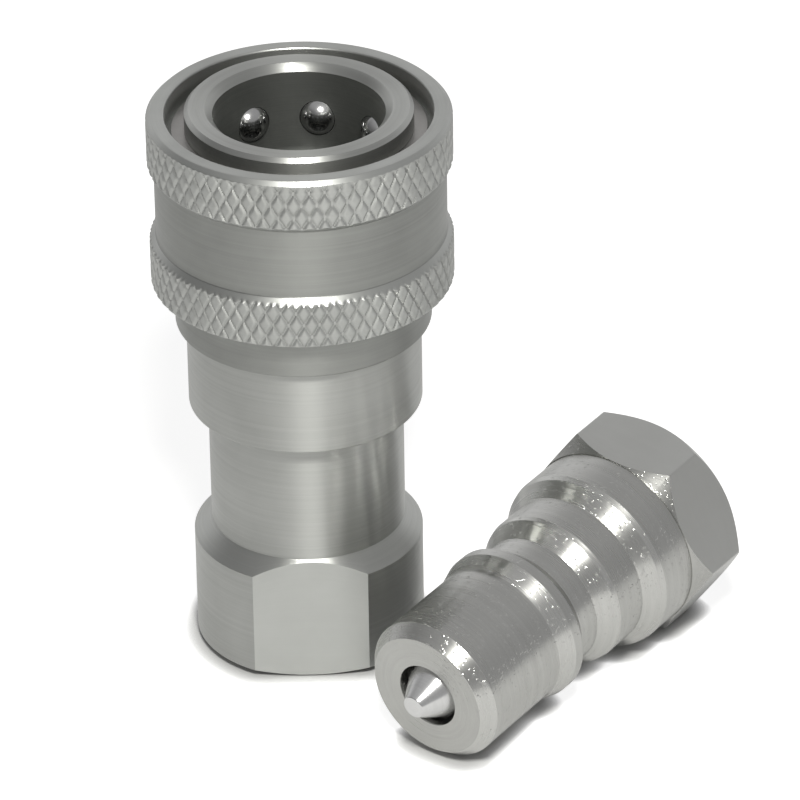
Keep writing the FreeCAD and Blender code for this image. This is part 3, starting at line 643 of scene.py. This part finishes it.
# Slant rows: a smoother finish, and a lighter tone that is painted light the slopes catch
plugSlopeFinishAndSheenLook = {"dark": (0.55, 0.55, 0.532), "light": (0.68, 0.68, 0.66), "rough": (0.22, 0.32),
                "spread": 0.7, "lines": 4.0, "cloudSize": 80.0, "markShare": 0.5, "bump": 0.45, "grain": 5.0}
# Groove rows behind the land: a darker tone that is painted shade in the groove
plugGrooveShadeLook = {"dark": (0.26, 0.26, 0.25), "light": (0.34, 0.34, 0.328), "rough": (0.34, 0.44),
                  "spread": 0.5, "lines": 6.0, "cloudSize": 80.0, "markShare": 0.5, "bump": 0.22,
                  "grain": 0.0}
plugMilledLook = {"dark": (0.52, 0.522, 0.506), "light": (0.605, 0.607, 0.589), "rough": (0.28, 0.38),
                  "spread": 0.2, "lines": 3.0, "cloudSize": 70.0, "markShare": 0.15, "bump": 0.03,
                  "grain": 0.0}
valveLook = {"dark": (0.66, 0.66, 0.66), "light": (0.80, 0.80, 0.80), "rough": (0.2, 0.3),
             "spread": 0.5, "lines": 9.0, "cloudSize": 140.0, "markShare": 0.6, "bump": 0.15, "grain": 0.0}
adapterSteel = turnedSteel("adapterSteel", adapterLook)
milledSteel = turnedSteel("milledSteel", milledLook)
bodySteel = turnedSteel("bodySteel", bodyLook)
boreFinishAndShadeSteel = turnedSteel("boreFinishAndShadeSteel", boreFinishAndShadeLook)
sleeveSteel = turnedSteel("sleeveSteel", sleeveLook)
knurlSteel = turnedSteel("knurlSteel", knurlLook)
plugSteel = turnedSteel("plugSteel", plugLook)
plugSlopeFinishAndSheenSteel = turnedSteel("plugSlopeFinishAndSheenSteel", plugSlopeFinishAndSheenLook)
plugGrooveShadeSteel = turnedSteel("plugGrooveShadeSteel", plugGrooveShadeLook)
plugMilledSteel = turnedSteel("plugMilledSteel", plugMilledLook)
valveSteel = turnedSteel("valveSteel", valveLook)

# Pieces without turning marks: tone and gloss from the plating cloud, with specks in the gloss
speckDepth = 0.03 * mm


def cloudedFinish(name, look):
    material, tree, shader = newMaterial(name, Metallic=look["metal"])
    cloud = objectCloud(tree, look)
    share = calc(tree, "MULTIPLY_ADD", cloud["Speck"], look["speck"], cloud["Cloud"], clamp=True)
    bump = addNode(tree, "ShaderNodeBump", Strength=look["bump"], Distance=speckDepth,
                   Height=cloud["Speck"]).outputs[0]
    fill(tree, shader, Base_Color=toneBetween(tree, look, cloud["Cloud"]), Normal=bump,
         Roughness=remap(tree, share, (0.0, 1.0), look["rough"]))
    return material


ballLook = {"metal": 1.0, "dark": (0.50, 0.50, 0.50), "light": (0.60, 0.60, 0.60), "rough": (0.12, 0.22),
            "cloudSize": 500.0, "speck": 0.3, "bump": 0.05}
springLook = {"metal": 1.0, "dark": (0.30, 0.29, 0.28), "light": (0.42, 0.41, 0.40), "rough": (0.28, 0.42),
              "cloudSize": 300.0, "speck": 0.4, "bump": 0.1}
rubberLook = {"metal": 0.0, "dark": (0.012, 0.012, 0.013), "light": (0.026, 0.026, 0.027),
              "rough": (0.45, 0.65), "cloudSize": 400.0, "speck": 0.4, "bump": 0.2}
backupLook = {"metal": 0.0, "dark": (0.70, 0.69, 0.65), "light": (0.80, 0.79, 0.76), "rough": (0.35, 0.5),
              "cloudSize": 300.0, "speck": 0.3, "bump": 0.1}
ballChrome = cloudedFinish("ballChrome", ballLook)
springSteel = cloudedFinish("springSteel", springLook)
sealRubber = cloudedFinish("sealRubber", rubberLook)
backupPlastic = cloudedFinish("backupPlastic", backupLook)

for piece, *finishes in ((adapter, adapterSteel, milledSteel), (body, bodySteel, boreFinishAndShadeSteel),
                         (sleeve, sleeveSteel, knurlSteel),
                         (plug, plugSteel, plugMilledSteel, plugSlopeFinishAndSheenSteel, plugGrooveShadeSteel),
                         (socketPoppet, valveSteel), (plugPoppet, valveSteel), (sleeveSpring, springSteel),
                         (socketSpring, springSteel), (plugSpring, springSteel)):
    for finish in finishes:
        piece.data.materials.append(finish)
nodeFinish = {"spring_washer": springSteel, "sleeve_retaining_ring": springSteel, "bore_o_ring": sealRubber,
              "joint_o_ring": sealRubber, "bore_backup_ring": backupPlastic, "socket_poppet_seal": sealRubber,
              "plug_poppet_seal": sealRubber, "socket_valve_guide": springSteel,
              "plug_valve_guide": springSteel, "plug_guide_ring": springSteel}
nodeFinish.update({f"locking_ball_{number}": ballChrome for number in range(1, 9)})
for node, finish in nodeFinish.items():
    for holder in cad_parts[node].material_slots:
        holder.material = finish
print("materials:", len(bpy.data.materials))


# Rays that come by way of metal or glass
def mirroredRay(tree, path):
    return calc(tree, "MAXIMUM", path["Is Glossy Ray"], path["Is Transmission Ray"])


# Floor: a wide pale grid just under the part. Its own light is for the camera, metal and glass alone:
# the camera sees it dimmed where it all but touches the part, a painted contact shadow, and mirrors see it
# dimmed where the part shelters it, painted shade in the reflections.
floorLook = {"reach": 3000, "points": 5, "below": 0.02, "colour": (0.52, 0.52, 0.52), "rough": 0.9,
             "shine": 0.1, "seen": 0.82, "contact": 2.2, "contactPower": 4.0, "mirrored": 0.33,
             "shelter": 20, "samples": 8}


def studioFloor():
    s = floorLook
    line = np.linspace(-s["reach"], s["reach"], s["points"]) * mm
    x, y = np.meshgrid(line, line)
    points = np.stack([x, y, np.full_like(x, -s["below"] * mm)], -1).reshape(-1, 3)
    cell = np.arange(x.size).reshape(x.shape)
    quads = np.stack([cell[:-1, :-1], cell[:-1, 1:], cell[1:, 1:], cell[1:, :-1]], -1).reshape(-1, 4)
    mesh = bpy.data.meshes.new("floor")
    mesh.from_pydata(points.tolist(), [], quads.tolist())
    addObject("floor", mesh)
    material, tree, shader = newMaterial("floorPaint", Base_Color=(*s["colour"], 1), Roughness=s["rough"],
                                         Specular_IOR_Level=s["shine"], Emission_Color=(1, 1, 1, 1))
    path = addNode(tree, "ShaderNodeLightPath").outputs
    # Ambient occlusion darkens the floor's own light: painted contact shadow for the camera, painted shade
    # for mirrors
    contact, shelter = (addNode(tree, "ShaderNodeAmbientOcclusion", {"samples": s["samples"]},
                                Distance=s[key] * mm).outputs["AO"] for key in ("contact", "shelter"))
    direct = calc(tree, "MULTIPLY", path["Is Camera Ray"], calc(tree, "POWER", contact, s["contactPower"]))
    mirrored = calc(tree, "MULTIPLY", mirroredRay(tree, path), shelter)
    fill(tree, shader, Emission_Strength=calc(tree, "ADD", calc(tree, "MULTIPLY", direct, s["seen"]),
                                              calc(tree, "MULTIPLY", mirrored, s["mirrored"])))
    mesh.materials.append(material)


# World: white to the camera, an even grey as light, and in metal and glass a room that is darker on the
# left, lighter on the right, lightest at the back and grey overhead
skyLook = {"light": 0.22, "left": 0.18, "right": 0.42, "sideSpan": (-0.7, 0.7), "back": 0.80,
           "backSpan": (0.1, 0.9), "overhead": 0.45, "overheadSpan": (0.35, 0.9)}


def studioSky():
    s = skyLook
    world = bpy.data.worlds.new("studio")
    bpy.context.scene.world = world
    world.use_nodes = True
    tree = world.node_tree
    path = addNode(tree, "ShaderNodeLightPath").outputs
    towards = addNode(tree, "ShaderNodeTexCoord").outputs["Generated"]
    x, y, z = addNode(tree, "ShaderNodeSeparateXYZ", i0=towards).outputs
    side = remap(tree, x, s["sideSpan"], (s["left"], s["right"]))
    wall = remap(tree, y, s["backSpan"], (side, s["back"]), "SMOOTHSTEP")
    high = remap(tree, z, s["overheadSpan"], ease="SMOOTHSTEP")
    room = calc(tree, "ADD", calc(tree, "MULTIPLY", wall, calc(tree, "SUBTRACT", 1.0, high)),
                calc(tree, "MULTIPLY", high, s["overhead"]))
    mirrored = mirroredRay(tree, path)
    seen = calc(tree, "ADD", path["Is Camera Ray"], calc(tree, "MULTIPLY", mirrored, room))
    other = calc(tree, "SUBTRACT", 1.0, calc(tree, "MAXIMUM", path["Is Camera Ray"], mirrored), clamp=True)
    strength = calc(tree, "ADD", seen, calc(tree, "MULTIPLY", other, s["light"]))
    fill(tree, tree.nodes["Background"], Color=(1, 1, 1, 1), Strength=strength)


# Key lamp: a soft disc, set by its azimuth from the front, its elevation and its distance from the target
lampLook = {"azimuth": 2, "elevation": 50, "distance": 420, "size": 80, "power": 1.8,
            "colour": (0.985, 0.98, 0.935), "target": (10, -10, 30)}


def keyLamp():
    s = lampLook
    lamp = bpy.data.lights.new("keyLight", "AREA")
    lamp.shape = "DISK"
    lamp.size = s["size"] * mm
    lamp.energy = s["power"]
    lamp.color = s["colour"]
    turn, rise = math.radians(s["azimuth"]), math.radians(s["elevation"])
    away = Vector((math.sin(turn) * math.cos(rise), -math.cos(turn) * math.cos(rise), math.sin(rise)))
    holder = addObject("keyLight", lamp)
    holder.location = away * s["distance"] * mm + Vector(s["target"]) * mm
    holder.rotation_euler = (-away).to_track_quat("-Z", "Y").to_euler()


# Camera at the photograph's place, 30.6 degrees down
viewFrom = {"place": (0, -579.4, 371.1), "yaw": 1.0238, "pitch": 30.572, "roll": -0.8714, "lens": 275.1,
            "sensor": 36}


def photoCamera():
    s = viewFrom
    yaw, pitch, roll = (math.radians(s[key]) for key in ("yaw", "pitch", "roll"))
    ahead = Vector((math.sin(yaw) * math.cos(pitch), math.cos(yaw) * math.cos(pitch), -math.sin(pitch)))
    level = Vector((math.cos(yaw), -math.sin(yaw), 0))
    above = level.cross(ahead)
    right = level * math.cos(roll) + above * math.sin(roll)
    up = above * math.cos(roll) - level * math.sin(roll)
    lens = bpy.data.cameras.new("camera")
    lens.lens = s["lens"]
    lens.sensor_width = s["sensor"]
    camera = addObject("camera", lens)
    facing = Matrix((right, up, -ahead)).transposed().to_4x4()
    camera.matrix_world = Matrix.Translation(Vector(s["place"]) * mm) @ facing
    bpy.context.scene.camera = camera


studioFloor()
studioSky()
keyLamp()
photoCamera()
bpy.context.scene.view_settings.view_transform = "Standard"
print("stage, light and camera set")
